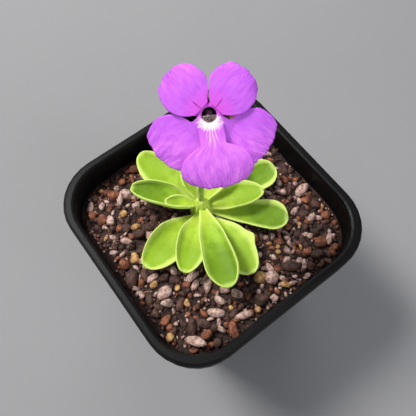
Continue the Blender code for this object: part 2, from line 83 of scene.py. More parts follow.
# %% Make a piece from points and faces
def add_piece(name, points, faces, stands_for=(), finish=None, crease=50.0):
    mesh = bpy.data.meshes.new(name)
    mesh.from_pydata((np.asarray(points, dtype=float) * MM).tolist(), [], faces)
    mesh.shade_smooth()
    mesh.set_sharp_from_angle(angle=math.radians(crease))
    piece = bpy.data.objects.new(name, mesh)
    bpy.context.scene.collection.objects.link(piece)
    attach(piece, "root")
    if stands_for:
        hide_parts(*stands_for)
    if finish:
        mesh.materials.append(finish)
    print(name, "has", len(mesh.polygons), "faces")
    return piece


def write_uv(piece, layer_name, per_point):
    """A UV layer that holds the same pair of numbers for a point in every face round it."""
    mesh = piece.data
    layer = mesh.uv_layers.new(name=layer_name)
    corners = np.zeros(len(mesh.loops), dtype=np.int32)
    mesh.loops.foreach_get("vertex_index", corners)
    layer.data.foreach_set("uv", np.asarray(per_point, dtype=np.float32)[corners].ravel())


# %% [markdown]
# ## Shader maths that reads like maths
# A finish is a graph of nodes. Wiring it by hand hides the idea, so a small class wraps a socket.
# Plus, minus, times and divide on it add Math nodes, and one method adds any other node.


# %% Wrap a socket so that signs build nodes
class Wire:
    def __init__(self, finish, socket):
        self.finish = finish
        self.socket = socket

    def _with(self, operation, first, second):
        settings = {"operation": operation}
        return self.finish.node("ShaderNodeMath", settings, {0: first, 1: second})

    def __add__(self, other):
        return self._with("ADD", self, other)

    def __radd__(self, other):
        return self._with("ADD", other, self)

    def __sub__(self, other):
        return self._with("SUBTRACT", self, other)

    def __rsub__(self, other):
        return self._with("SUBTRACT", other, self)

    def __mul__(self, other):
        return self._with("MULTIPLY", self, other)

    def __rmul__(self, other):
        return self._with("MULTIPLY", other, self)

    def __truediv__(self, other):
        return self._with("DIVIDE", self, other)

    def __rtruediv__(self, other):
        return self._with("DIVIDE", other, self)

    def __pow__(self, other):
        return self._with("POWER", self, other)

    def __abs__(self):
        return self._with("ABSOLUTE", self, 0.0)

    def sine(self):
        return self._with("SINE", self, 0.0)

    def ramp(self, low, high):
        """0 up to low, 1 from high on, with a soft rise between them."""
        settings = {"interpolation_type": "SMOOTHSTEP"}
        limits = {0: self, 1: low, 2: high, 3: 0.0, 4: 1.0}
        return self.finish.node("ShaderNodeMapRange", settings, limits)


class Finish:
    """A material with one Principled shader, whose constants are set straight on its sockets."""

    def __init__(self, name, **constants):
        self.material = bpy.data.materials.new(name)
        self.material.use_nodes = True
        self.tree = self.material.node_tree
        self.shader = self.tree.nodes["Principled BSDF"]
        for socket_name, value in constants.items():
            self.shader.inputs[socket_name.replace("_", " ")].default_value = value

    def node(self, kind, settings=None, inputs=None, output=0):
        made = self.tree.nodes.new(kind)
        for key, value in (settings or {}).items():
            setattr(made, key, value)
        for key, value in (inputs or {}).items():
            if isinstance(value, Wire):
                self.tree.links.new(value.socket, made.inputs[key])
            else:
                made.inputs[key].default_value = value
        return Wire(self, made.outputs[output])

    def feed(self, socket_name, wire):
        self.tree.links.new(wire.socket, self.shader.inputs[socket_name])

    def place(self):
        """Where a point is on the object, in metres."""
        return self.node("ShaderNodeTexCoord", output="Object")

    def noise(self, size_mm, detail=3.0, roughness=0.5, vector=None):
        """Soft noise from about 0 to 1, whose blotches are about this many millimetres across."""
        inputs = {"Vector": vector or self.place(), "Scale": 1000.0 / size_mm}
        inputs.update({"Detail": detail, "Roughness": roughness})
        return self.node("ShaderNodeTexNoise", None, inputs)

    def cells(self, size_mm):
        """Distance from the middle of the nearest of many small cells."""
        inputs = {"Vector": self.place(), "Scale": 1000.0 / size_mm}
        return self.node("ShaderNodeTexVoronoi", {"feature": "F1"}, inputs, "Distance")

    def uv(self, layer_name):
        """The two numbers of a UV layer, each as a value."""
        layer = self.node("ShaderNodeUVMap", {"uv_map": layer_name})
        split = self.node("ShaderNodeSeparateXYZ", None, {0: layer})
        return split, Wire(self, split.socket.node.outputs[1])

    def blend(self, amount, first, second):
        """A colour between two others: the first where amount is 0, the second where it is 1."""
        inputs = {0: amount, 6: first, 7: second}
        return self.node("ShaderNodeMix", {"data_type": "RGBA"}, inputs, output=2)

    def relief(self, height, depth_mm, strength=1.0):
        inputs = {"Height": height, "Distance": depth_mm * MM, "Strength": strength}
        self.feed("Normal", self.node("ShaderNodeBump", None, inputs))


def colour(red, green, blue):
    """A linear colour from the red, green and blue that a screen shows, 0 to 255."""
    linear = []
    for part in (red, green, blue):
        share = part / 255.0
        linear.append(share / 12.92 if share <= 0.04045 else ((share + 0.055) / 1.055) ** 2.4)
    return (*linear, 1.0)


print("a leaf green as linear numbers:", [round(part, 3) for part in colour(150, 184, 36)])

# %% [markdown]
# ## The pot
# The real pot is moulded black plastic: satin, faintly pebbled, with a little dust on it. It could be
# lofted again here with finer corners. The CAD solid already has its collar, lip, foot and drain holes,
# and it is shaded round, so it keeps the job and only takes the finish.

# %% Finish of the pot
pot_plastic = Finish("pot_black_plastic", Specular_IOR_Level=0.12)
dust = pot_plastic.noise(2.2, 5.0, 0.65).ramp(0.56, 0.78)
speck = pot_plastic.noise(0.35, 2.0).ramp(0.62, 0.72)
pebble = pot_plastic.noise(0.5, 3.0)
dark = pot_plastic.blend(pot_plastic.noise(14.0), colour(8, 8, 9), colour(13, 13, 15))
dusty = pot_plastic.blend(dust * speck * 0.3 + speck * 0.03, dark, colour(110, 94, 80))
pot_plastic.feed("Base Color", dusty)
pot_plastic.feed("Roughness", 0.38 + pebble * 0.12 + dust * 0.25)
pot_plastic.relief(pebble, 0.05, 0.5)
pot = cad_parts["pot"]
pot.data.materials.clear()
pot.data.materials.append(pot_plastic.material)
print("the CAD pot has", len(pot.data.polygons), "faces")

# %% [markdown]
# ## Compost
# Carnivorous plants grow in a lean mix: dark peat and bark, rust-brown fired clay, pale pumice.
# One displaced sheet could show all of it, but its grains would melt together from a low angle.
# So the ground is a sheet, and the loose grains lie on it as bodies of their own.

# %% Finishes of the compost
def grit_finish(name, dark_colour, light_colour, blotch_mm, rough):
    finish = Finish(name)
    blotch = finish.noise(blotch_mm, 5.0, 0.6)
    pores = finish.noise(blotch_mm * 0.28, 3.0, 0.7)
    mixed = finish.blend(blotch.ramp(0.35, 0.66), dark_colour, light_colour)
    pitted = finish.blend(pores.ramp(0.6, 0.75) * 0.6, mixed, colour(38, 24, 20))
    finish.feed("Base Color", pitted)
    finish.feed("Roughness", rough + blotch * 0.2)
    finish.relief(blotch * 0.6 + pores * 0.6, 0.35, 0.8)
    return finish


peat = grit_finish("peat_ground", colour(30, 19, 17), colour(62, 40, 33), 1.4, 0.8)
bark = grit_finish("bark_grain", colour(44, 28, 25), colour(98, 66, 54), 1.1, 0.65)
rust = grit_finish("fired_clay_grain", colour(92, 52, 38), colour(158, 96, 66), 1.2, 0.7)
pumice = grit_finish("pumice_grain", colour(140, 106, 96), colour(214, 184, 172), 1.0, 0.75)
tan = grit_finish("tan_grain", colour(150, 104, 62), colour(214, 172, 112), 1.3, 0.6)
print("grit finishes:", [grit.material.name for grit in (peat, bark, rust, pumice, tan)])

# %% [markdown]
# ### Ground
# The ground must follow the pot's inner wall without touching it. So it is a set of rings, each one
# the outline of a rounded square, shrunk step by step to the middle and lifted by soft noise.


# %% Outline of the pot's inside
def rounded_square(half, corner, z, steps):
    """Points anticlockwise round a square of this half width and corner radius."""
    ring = []
    for quarter in range(4):
        turn = quarter * math.pi / 2
        for step in range(steps + 1):
            angle = step * math.pi / 2 / steps
            x = half - corner + corner * math.cos(angle)
            y = half - corner + corner * math.sin(angle)
            turned_x = x * math.cos(turn) - y * math.sin(turn)
            turned_y = x * math.sin(turn) + y * math.cos(turn)
            ring.append((turned_x, turned_y, z))
    return ring


def ring_faces(first, second, count):
    faces = []
    for i in range(count):
        after = (i + 1) % count
        faces.append((first + i, first + after, second + after, second + i))
    return faces


def loft(rings):
    """Points and faces of a closed skin through rings of equal counts."""
    count = len(rings[0])
    points = [tuple(point) for ring in rings for point in ring]
    faces = []
    for i in range(len(rings) - 1):
        faces += ring_faces(i * count, (i + 1) * count, count)
    last = (len(rings) - 1) * count
    faces.append(tuple(reversed(range(count))))
    faces.append(tuple(range(last, last + count)))
    return points, faces


def inner_half(z):
    """Half width of the pot's inside wall, which leans out to the lip."""
    foot = POT_FOOT_WIDTH / 2
    top = POT_WIDTH / 2 - COLLAR_STEP
    outer = foot + (top - foot) * z / (POT_HEIGHT - COLLAR_DEPTH)
    return min(outer - POT_WALL, POT_WIDTH / 2 - LIP_WIDTH - LIP_INSET)


print("the pot is", round(2 * inner_half(GROUND), 1), "mm wide inside at the ground")


# %% Ground between the grains
GROUND_GAP = 0.15
GROUND_BOTTOM = 3.9
GROUND_RINGS = 70
EDGE_PARTS = 24


def ground_height(x, y):
    """The bare ground is uneven by about a millimetre, and a little lower along the walls."""
    wide = noise.noise(Vector((x * 0.06, y * 0.06, 3.1))) * 1.1
    fine = noise.noise(Vector((x * 0.35, y * 0.35, 8.4))) * 0.45
    wall = max(0.0, max(abs(x), abs(y)) / 31.0 - 0.8) * 3.0
    return GROUND - 0.5 + wide + fine - wall


def inside_pot(x, y, margin):
    """Whether a point is inside the pot's inner wall at the ground, by at least this margin."""
    half = inner_half(GROUND) - margin
    corner = POT_CORNER * half / (POT_WIDTH / 2)
    over_x = max(0.0, abs(x) - (half - corner))
    over_y = max(0.0, abs(y) - (half - corner))
    return math.hypot(over_x, over_y) < corner


def make_ground():
    half = inner_half(GROUND) - GROUND_GAP
    corner = POT_CORNER * half / (POT_WIDTH / 2)
    outline = rounded_square(half, corner, 0.0, 20)
    dense = []
    for i, point in enumerate(outline):
        after = outline[(i + 1) % len(outline)]
        parts = EDGE_PARTS if math.dist(point, after) > POT_CORNER / 2 else 1
        for part in range(parts):
            t = part / parts
            dense.append((point[0] + (after[0] - point[0]) * t, point[1] + (after[1] - point[1]) * t))
    low = (inner_half(GROUND_BOTTOM) - GROUND_GAP) / half
    rings = [[(x * low, y * low, GROUND_BOTTOM) for x, y in dense]]
    for level in range(GROUND_RINGS):
        share = 1.0 - level / GROUND_RINGS
        rings.append([(x * share, y * share, ground_height(x * share, y * share)) for x, y in dense])
    points, faces = loft(rings)
    return add_piece("ground", points, faces, ("compost",), peat.material, 80.0)


make_ground()

# %% [markdown]
# ### Grains
# A real grain is a worn lump: longer than it is wide, and dented. A cube or a plain ball would repeat
# too clearly. So each grain starts as an icosphere, which is stretched, turned and dented by a few
# seeded waves. Large grains go down first, small ones last.


# %% Balls and turns
def icosphere(levels):
    """Points and triangles of a ball of radius 1."""
    shape = bmesh.new()
    bmesh.ops.create_icosphere(shape, subdivisions=levels, radius=1.0)
    shape.verts.ensure_lookup_table()
    points = np.array([vert.co[:] for vert in shape.verts])
    faces = np.array([[vert.index for vert in face.verts] for face in shape.faces])
    shape.free()
    return points, faces


BALLS = {levels: icosphere(levels) for levels in (1, 2, 3)}
print("faces of each ball:", {levels: len(ball[1]) for levels, ball in BALLS.items()})


def random_turn(draw, tilt=0.6):
    """A rotation matrix: any turn about the upright axis, and a limited tilt."""
    turn = Matrix.Rotation(draw.uniform(0.0, 2 * math.pi), 3, "Z")
    lean = Matrix.Rotation(draw.gauss(0.0, tilt), 3, "X")
    lean = lean @ Matrix.Rotation(draw.gauss(0.0, tilt), 3, "Y")
    return np.array(lean @ turn)


# %% Places for grains
GRAIN_SEED = 31
CLEAR_OF_CROWN = 3.4
LOOKUP_SQUARE = 4.0
TRIES_EACH = 40


def scatter(draw, count, small, large, spacing):
    """Places for grains that keep apart by a share of their sizes, found by a lookup of squares."""
    places = []
    lookup = {}
    tries = 0
    while len(places) < count and tries < count * TRIES_EACH:
        tries += 1
        half = inner_half(GROUND)
        x = draw.uniform(-half, half)
        y = draw.uniform(-half, half)
        radius = small + (large - small) * draw.random() ** 1.6
        if not inside_pot(x, y, radius + 0.3):
            continue
        if math.hypot(x - CROWN.x, y - CROWN.y) < CLEAR_OF_CROWN + radius:
            continue
        key_x = int(x // LOOKUP_SQUARE)
        key_y = int(y // LOOKUP_SQUARE)
        near = []
        for i in (-1, 0, 1):
            for j in (-1, 0, 1):
                near += lookup.get((key_x + i, key_y + j), [])
        if any(math.hypot(x - a, y - b) < (radius + r) * spacing for a, b, r in near):
            continue
        lookup.setdefault((key_x, key_y), []).append((x, y, radius))
        places.append((x, y, radius))
    return places


print("grains keep", CLEAR_OF_CROWN, "mm clear of the crown's middle")


# %% Lumps at those places
def grains(name, places, draw, levels, finish, sink, stretch=1.5):
    """One mesh of many dented lumps, each settled into the ground by a share of its size."""
    ball, triangles = BALLS[levels]
    all_points = []
    all_faces = []
    for number, (x, y, radius) in enumerate(places):
        long = draw.uniform(1.0, stretch)
        size = np.array([long, 1.0 / math.sqrt(long), draw.uniform(0.6, 0.9)]) * radius
        waves = np.zeros(len(ball))
        for strength in (0.16, 0.11, 0.07):
            way = np.array([draw.gauss(0, 1) for _ in range(3)]) * (0.32 / strength * 0.8)
            waves += strength * np.sin(ball @ way + draw.uniform(0.0, 6.3))
        lump = ball * (1.0 + waves)[:, None] * size
        lump = lump @ random_turn(draw).T
        top = lump[:, 2].max()
        height = ground_height(x, y) + top * sink
        all_points.append(lump + np.array([x, y, height]))
        all_faces.append(triangles + number * len(ball))
    points = np.concatenate(all_points)
    faces = np.concatenate(all_faces).tolist()
    return add_piece(name, points, faces, (), finish.material, 180.0)


# %% Large grains
draw = random.Random(GRAIN_SEED)
large_places = scatter(draw, 560, 0.75, 2.0, 0.74)
GRAIN_KINDS = [
    dict(name="bark_grains", share=0.36, finish=bark, sink=0.35, stretch=1.7),
    dict(name="fired_clay_grains", share=0.26, finish=rust, sink=0.45, stretch=1.5),
    dict(name="pumice_grains", share=0.31, finish=pumice, sink=0.55, stretch=1.9),
    dict(name="tan_grains", share=0.07, finish=tan, sink=0.5, stretch=1.3),
]
sorted_places = {kind["name"]: [] for kind in GRAIN_KINDS}
for place in large_places:
    pick = draw.random()
    for kind in GRAIN_KINDS:
        pick -= kind["share"]
        if pick < 0:
            break
    sorted_places[kind["name"]].append(place)
for kind in GRAIN_KINDS:
    places = sorted_places[kind["name"]]
    grains(kind["name"], places, draw, 2, kind["finish"], kind["sink"], kind["stretch"])

# %% Fine crumbs between the grains
fine_places = scatter(draw, 2300, 0.28, 0.75, 0.62)
last_dark = int(len(fine_places) * 0.62)
last_pale = int(len(fine_places) * 0.84)
grains("peat_crumbs", fine_places[:last_dark], draw, 1, bark, 0.8, 1.6)
grains("pale_crumbs", fine_places[last_dark:last_pale], draw, 1, pumice, 0.8, 1.8)
grains("rust_crumbs", fine_places[last_pale:], draw, 1, rust, 0.8, 1.6)

# %% [markdown]
# ## Leaves
# A butterwort's leaf is a soft, shallow trough, with margins that roll up and in over its sticky face.
# It could be sculpted, but a formula keeps all fourteen alike in kind and different in pose.
# The face is yellow-green and the rim thin and pale, so the finish follows the leaf's own lengths.


# %% Finish of the leaves
RIM_GREEN = colour(208, 228, 124)


def leaf_finish(name, low_green, high_green, hollow_shade_green):
    finish = Finish(
        name, IOR=1.4, Subsurface_Weight=0.1, Subsurface_Scale=0.001, Specular_IOR_Level=0.35
    )
    finish.shader.inputs["Subsurface Radius"].default_value = (0.9, 1.0, 0.25)
    along, across = finish.uv("leaf")
    off_middle = abs(across - 0.5) * 2.0
    patch = finish.noise(3.2, 3.0)
    fine = finish.noise(0.32, 2.0)
    blade_colour = finish.blend(patch.ramp(0.35, 0.65), low_green, high_green)
    # painted shade: the trough between the rolled-up margins is darkened over the leaf's outer half, for the
    # shade that the margins cast into it
    hollow = along.ramp(0.3, 0.7) * (1.0 - (off_middle - 0.45).ramp(0.1, 0.45)) * 0.8
    hollow_shaded = finish.blend(hollow, blade_colour, hollow_shade_green)
    paler_root = finish.blend(1.0 - along.ramp(0.02, 0.4), hollow_shaded, colour(178, 198, 66))
    rim_share = (off_middle + patch * 0.1).ramp(0.64, 0.95) * 0.75
    rimmed = finish.blend(rim_share, paler_root, RIM_GREEN)
    finish.feed("Base Color", finish.blend(along.ramp(0.93, 1.0) * 0.6, rimmed, RIM_GREEN))
    glands = finish.cells(0.42)
    finish.feed("Roughness", 0.5 + fine * 0.14)
    finish.relief(0.6 * fine + 0.8 * (1.0 - glands.ramp(0.05, 0.35)), 0.10, 0.55)
    return finish


fresh_greens = [colour(150, 184, 36), colour(176, 206, 62), colour(130, 166, 26)]
# painted shade: the second set of greens is a darker copy of the leaf finish, for four leaves whose faces
# lie deeper in shade
shaded_greens = [colour(124, 160, 24), colour(152, 188, 46), colour(92, 128, 10)]
fresh_leaf = leaf_finish("fresh_leaf", *fresh_greens)
shaded_leaf = leaf_finish("shaded_leaf", *shaded_greens)
SHADED = {"leaf_left_upper", "leaf_front", "leaf_right", "leaf_right_back"}
print("leaves with a darker hollow:", sorted(SHADED))


# %% [markdown]
# ### Shape of a leaf
# A leaf's middle surface is a formula of two numbers: u runs from root to tip, v from side to side.
# Its centre line rises and droops, and each half is rolled up by an angle that grows to the margin.


# %% The middle surface of a leaf
CROWN_RADIUS = 2.6
CROWN_TOP_RADIUS = 1.1
LEAF_ROOT_HALF = 0.85
LEAF_CUP = 1.7
LEAF_SPOON = 0.9
NOTCH_PLACE = 0.62
NOTCH_SPREAD = 0.07


def crown_radius(z):
    share = max(0.0, min(1.0, (z - CROWN_BASE) / (CROWN_TOP - CROWN_BASE)))
    return CROWN_RADIUS + (CROWN_TOP_RADIUS - CROWN_RADIUS) * share


def leaf_outline(u, root_share, widest):
    """Half width of a leaf as a share of its greatest: narrow root, broad middle, round tip."""
    if u < widest:
        return root_share + (1.0 - root_share) * math.sin(math.pi / 2 * u / widest) ** 1.3
    t = (u - widest) / (1.0 - widest)
    return max(0.0, 1.0 - t ** 1.95) ** 0.6 * 0.94 + 0.06


def leaf_surface(leaf):
    """An arched centre line with margins that roll up, a faint groove and a little waviness."""
    azimuth = math.radians(leaf["azimuth"])
    out = Vector((math.cos(azimuth), math.sin(azimuth), 0.0))
    side = Vector((-math.sin(azimuth), math.cos(azimuth), 0.0))
    up = Vector((0.0, 0.0, 1.0))
    root = crown_radius(leaf["height"]) + 0.2
    reach = leaf["length"] - root
    middle = Vector((CROWN.x, CROWN.y, leaf["height"]))
    root_share = leaf.get("root", LEAF_ROOT_HALF) * 2 / leaf["width"]
    slices = 14
    phase = azimuth * 3.0

    def surface(u, v):
        half = leaf["width"] / 2 * leaf_outline(u, root_share, leaf.get("widest", 0.55))
        rise = leaf["rise"] * reach * u - leaf["droop"] * reach * u * u
        tilt = math.atan(leaf["rise"] - 2.0 * leaf["droop"] * u)
        roll = math.radians(leaf["curl"]) * (0.35 + 0.65 * min(1.0, u / 0.5))
        roll *= leaf.get("left_curl", 1.0) if v > 0 else leaf.get("right_curl", 1.0)
        if v > 0:
            half += leaf.get("bump", 0.0) * math.exp(-(((u - NOTCH_PLACE) / NOTCH_SPREAD) ** 2)) * v * v
        sideways = 0.0
        lifted = 0.0
        for i in range(slices):
            share = abs(v) * (i + 0.5) / slices
            angle = roll * share ** LEAF_CUP
            sideways += math.cos(angle) * abs(v) / slices
            lifted += math.sin(angle) * abs(v) / slices
        normal = up * math.cos(tilt) - out * math.sin(tilt)
        spoon = LEAF_SPOON * max(0.0, (u - 0.8) / 0.2) ** 2 * leaf["width"] / 10.0
        groove = -0.16 * math.exp(-((v / 0.16) ** 2)) * math.sin(math.pi * min(1.0, u * 1.1))
        wave = 0.14 * math.sin(11.0 * u + phase + 2.0 * v) * v * v
        point = middle + out * (root + reach * u) + up * rise
        point += side * math.copysign(sideways * half, v)
        point += normal * (lifted * half + spoon + groove + wave)
        return point

    return surface


print("the crown narrows from", 2 * CROWN_RADIUS, "to", 2 * CROWN_TOP_RADIUS, "mm across")


# %% A blade with two faces and a soft rim
RIM_SHARE = 0.5


def blade(surface, thickness, stations, strips):
    """Points, faces and (along, across) of a thin solid about surface(u, v)."""
    step = 0.002
    top = []
    under = []
    uv = []
    for i in range(stations + 1):
        u = i / stations
        for j in range(strips + 1):
            v = -1.0 + 2.0 * j / strips
            low_u, high_u = max(0.0, u - step), min(1.0, u + step)
            low_v, high_v = max(-1.0, v - step), min(1.0, v + step)
            run = surface(high_u, v) - surface(low_u, v)
            over = surface(u, high_v) - surface(u, low_v)
            normal = run.cross(over).normalized() * thickness(u, v) / 2
            edge = RIM_SHARE if j in (0, strips) or i == stations else 1.0
            point = surface(u, v)
            top.append(point + normal * edge)
            under.append(point - normal * edge)
            uv.append((u, (v + 1.0) / 2.0))
    count = len(top)
    row = strips + 1
    faces = []
    for i in range(stations):
        for j in range(strips):
            a = i * row + j
            faces.append((a, a + row, a + row + 1, a + 1))
            faces.append((count + a, count + a + 1, count + a + row + 1, count + a + row))
    for i in range(stations):
        a = i * row
        faces.append((a, count + a, count + a + row, a + row))
        a = i * row + strips
        faces.append((a, a + row, count + a + row, count + a))
    for j in range(strips):
        faces.append((j, j + 1, count + j + 1, count + j))
        a = stations * row + j
        faces.append((a, count + a, count + a + 1, a + 1))
    return top + under, faces, uv + uv


def leaf_thickness(u, v):
    """Fleshy in the middle and thin at the rim."""
    return 0.95 * (1.0 - 0.5 * v * v) * (1.0 - 0.25 * u)


print("a leaf is", leaf_thickness(0.0, 0.0), "mm thick at its root")

# %% Where each leaf grows, and how it is rolled
LEAVES = [
    dict(name="leaf_back_left", azimuth=102, height=57.9, length=25.5, width=11.6, rise=0.32, droop=0.17,
         curl=95, left_curl=0.35, right_curl=0.7),
    dict(name="leaf_left_front", azimuth=193, height=57.9, length=24.6, width=12.4, rise=0.26, droop=0.15,
         curl=88, left_curl=0.35),
    dict(name="leaf_front_right", azimuth=268.5, height=57.9, length=25.5, width=12.3, rise=0.27, droop=0.15,
         curl=70, right_curl=0.35, left_curl=0.7, bump=1.3),
    dict(name="leaf_right", azimuth=313, height=57.9, length=25.8, width=10.5, rise=0.26, droop=0.15,
         curl=70, left_curl=0.35, widest=0.8),
    dict(name="leaf_right_back", azimuth=352, height=57.9, length=25.5, width=9.9, rise=0.28, droop=0.15,
         curl=85, right_curl=0.35, left_curl=0.8, widest=0.8),
    dict(name="leaf_back_right", azimuth=38, height=57.9, length=24.5, width=12.0, rise=0.28, droop=0.15,
         curl=80, right_curl=0.45, left_curl=0.45),
    dict(name="leaf_left_upper", azimuth=132, height=60.2, length=21.0, width=10.8, rise=0.38, droop=0.16,
         curl=118, root=1.25),
    dict(name="leaf_front_left", azimuth=221, height=60.0, length=21.8, width=10.6, rise=0.34, droop=0.17,
         curl=95, left_curl=0.4, root=1.25),
    dict(name="leaf_front", azimuth=250, height=62.2, length=27.2, width=12.8, rise=0.31, droop=0.17,
         curl=88, left_curl=1.45, root=1.25, widest=0.76),
    dict(name="leaf_right_upper", azimuth=332, height=60.4, length=18.5, width=10.0, rise=0.40, droop=0.16,
         curl=92, left_curl=0.7, root=1.25),
    dict(name="leaf_back", azimuth=63, height=60.4, length=21.5, width=10.6, rise=0.40, droop=0.16,
         curl=80, root=1.25),
    dict(name="leaf_back_upper", azimuth=18, height=62.4, length=17.0, width=9.4, rise=0.55, droop=0.18,
         curl=80, root=1.25),
    dict(name="leaf_young_left", azimuth=150, height=62.9, length=10.4, width=5.4, rise=0.62, droop=0.25,
         curl=115, root=1.0),
    dict(name="leaf_young_back", azimuth=92, height=64.2, length=8.6, width=4.6, rise=0.85, droop=0.25,
         curl=100, root=1.0),
]
print("leaves:", len(LEAVES), "in three tiers")

# %% Build the leaves
for leaf in LEAVES:
    points, faces, uv = blade(leaf_surface(leaf), leaf_thickness, 44, 26)
    tissue = shaded_leaf if leaf["name"] in SHADED else fresh_leaf
    name = "soft_" + leaf["name"]
    piece = add_piece(name, points, faces, (leaf["name"],), tissue.material, 180.0)
    write_uv(piece, "leaf", uv)

# %% [markdown]
# ## Crown
# The crown hides under the leaf bases. Its CAD solid, with the roots, has the right form already, and
# only needs the look of moist young tissue. The bases that clasp it are a low ribbed mound round it.

# %% Finish of the crown
crown_pale = Finish("crown_tissue", Subsurface_Weight=0.2, Subsurface_Scale=0.0012, Roughness=0.45)
streak = crown_pale.noise(0.8, 4.0)
crown_green = crown_pale.blend(streak.ramp(0.3, 0.7), colour(166, 194, 62), colour(200, 218, 104))
crown_pale.feed("Base Color", crown_green)
crown_pale.relief(streak, 0.12, 0.6)
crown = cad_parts["crown_and_roots"]
crown.data.materials.clear()
crown.data.materials.append(crown_pale.material)
print("the crown's solid has", len(crown.data.polygons), "faces")


# %% Clasping leaf bases
BASES_PROFILE = [
    (3.0, -0.6), (3.35, 0.8), (3.3, 2.2), (3.0, 3.7), (2.6, 5.2),
    (2.2, 6.5), (1.85, 7.5), (1.45, 8.3), (1.1, 8.7), (0.7, 8.85),
]
BASES_SIDES = 84


def make_leaf_bases():
    """A low mound with soft ribs, where the leaf bases wrap round the crown and hide it."""
    rings = []
    for reach, up in BASES_PROFILE:
        ring = []
        for step in range(BASES_SIDES):
            angle = 2.0 * math.pi * step / BASES_SIDES
            rib = 1.0 + 0.07 * math.sin(7.0 * angle + up * 0.5) + 0.04 * math.sin(11.0 * angle - up)
            x = CROWN.x + reach * rib * math.cos(angle)
            y = CROWN.y + reach * rib * math.sin(angle)
            ring.append((x, y, CROWN_BASE + up))
        rings.append(ring)
    points, faces = loft(rings)
    return add_piece("leaf_bases", points, faces, (), crown_pale.material, 70.0)


make_leaf_bases()

# %% [markdown]
# ## The flower's own axes
# The flower looks up and towards the front left. It is much easier to shape in axes of its own:
# x to the right, y up and z out of the face, all measured from the throat.


# %% Axes of the flower
def flower_axes():
    level = math.cos(FACE_ELEVATION)
    forward = Vector((
        math.sin(FACE_AZIMUTH) * level,
        -math.cos(FACE_AZIMUTH) * level,
        math.sin(FACE_ELEVATION),
    ))
    right = Vector((math.cos(FACE_AZIMUTH), math.sin(FACE_AZIMUTH), 0.0))
    return right, forward.cross(right), forward


RIGHT, UP, FORWARD = flower_axes()
print("the flower faces", [round(part, 3) for part in FORWARD])


def in_flower(x, y, z):
    return THROAT + RIGHT * x + UP * y + FORWARD * z


# %% [markdown]
# ## Corolla
# Five lobes fuse into a tube with a spur. Each lobe is narrow at the throat, broad outside, crinkled
# along its edge and lined by fine veins. A painted picture could show the pattern, but numbers that
# every point carries keep it sharp at any size: how far along and across its lobe the point is, for
# the veins, and where it is as seen from the front, for the throat's pattern.

# %% Numbers that the petals carry
FACE_SPAN = 40.0
petal = Finish("petal_tissue", Roughness=0.62, Specular_IOR_Level=0.2)
along, across = petal.uv("lobe")
face_x, face_y = petal.uv("face")
x = (face_x - 0.5) * FACE_SPAN
y = (face_y - 0.5) * FACE_SPAN
radius = (x * x + y * y) ** 0.5
print("a petal reads its place on a square of", FACE_SPAN, "mm")

# %% Veins and tissue
wobble = (petal.noise(2.4, 2.0) - 0.5) * 0.07 + (petal.noise(0.7, 2.0) - 0.5) * 0.03
lane = across + wobble


def fibres(lanes, rows, detail):
    """Uneven streaks that run along a lobe: soft noise, squeezed across the lobe."""
    stretched = petal.node("ShaderNodeCombineXYZ", None, {0: lane * lanes, 1: along * rows})
    return petal.noise(1000.0, detail, 0.55, stretched)


coarse_vein = (1.0 - abs((lane * 9.0 * math.pi).sine()).ramp(0.0, 0.22)) * along.ramp(0.1, 0.3)
fine_vein = fibres(38.0, 4.5, 2.5).ramp(0.5, 0.66)
margin = (abs(across - 0.5) * 2.0).ramp(0.55, 1.0) * 0.6 + along.ramp(0.5, 1.0)
rim_vein = (1.0 - abs((lane * 21.0 * math.pi).sine()).ramp(0.1, 0.75)) * along.ramp(0.66, 0.92)
rim_vein = rim_vein * (0.35 + fibres(16.0, 3.0, 2.0).ramp(0.35, 0.65) * 0.65)
vein = coarse_vein * 0.14 + fine_vein * (0.2 + margin * 0.35) + rim_vein * 0.6
cloud = fibres(11.0, 4.0, 5.0)
below = (-1.0 * y).ramp(1.0, 8.0)
paler = petal.blend(below, colour(214, 114, 246), colour(246, 140, 255))
tissue = petal.blend(0.28 + cloud.ramp(0.28, 0.72) * 0.6, colour(196, 88, 232), paler)
near_throat = (1.0 - radius.ramp(2.2, 6.6)) * y.ramp(-2.0, 1.0)
pink = petal.blend(near_throat * 0.7, tissue, colour(224, 84, 220))
veined = petal.blend(vein * 0.75, pink, colour(128, 40, 184))
edge = (abs(across - 0.5) * 2.0).ramp(0.955, 1.0) * along.ramp(0.3, 0.5)
tipped = petal.blend((edge + along.ramp(0.972, 1.0)) * 0.5, veined, colour(130, 40, 180))
print("vein and tissue nodes:", len(petal.tree.nodes))

# %% [markdown]
# ### Pattern round the throat
# A ragged white patch lies under the throat and runs out in pale streaks. Two dark rays and a pink
# blush lie above it. Angles round the throat give the rays, and noise along them frays the patch.

# %% White patch, streaks and rays
ray_angle = petal.node("ShaderNodeMath", {"operation": "ARCTAN2"}, {0: y, 1: x})
from_below = petal.node("ShaderNodeMath", {"operation": "ARCTAN2"}, {0: x, 1: -1.0 * y})
spoke_place = petal.node("ShaderNodeCombineXYZ", None, {0: from_below * 7.0, 1: radius * 0.35})
spokes = petal.noise(1000.0, 3.0, 0.6, spoke_place)
patch_x = (x - 0.1) / 2.5
patch_y = (y + 1.4) / 1.55
frayed = patch_x * patch_x + patch_y * patch_y + (spokes - 0.5) * 2.8
white_patch = 1.0 - frayed.ramp(0.2, 1.45)
lit = petal.blend(white_patch * 0.95, tipped, colour(250, 240, 246))
drop_down = radius.ramp(2.2, 3.0) * (1.0 - radius.ramp(4.2, 7.4))
streak_lane = 1.0 - abs((from_below * 19.0 + wobble * 40.0).sine()).ramp(0.25, 0.95)
narrow = 1.0 - abs(x + y * 0.13).ramp(0.4, 1.5)
streak_reach = drop_down * narrow * (0.4 + spokes) * (-1.0 * y).ramp(1.0, 2.0)
streaked = petal.blend(streak_lane * streak_reach * 0.65, lit, colour(246, 222, 248))
rays = 1.0 - abs((ray_angle * 4.0 - 0.25).sine()).ramp(0.03, 0.22)
ray_reach = radius.ramp(1.7, 2.1) * (1.0 - radius.ramp(3.4, 4.6)) * y.ramp(0.3, 1.1)
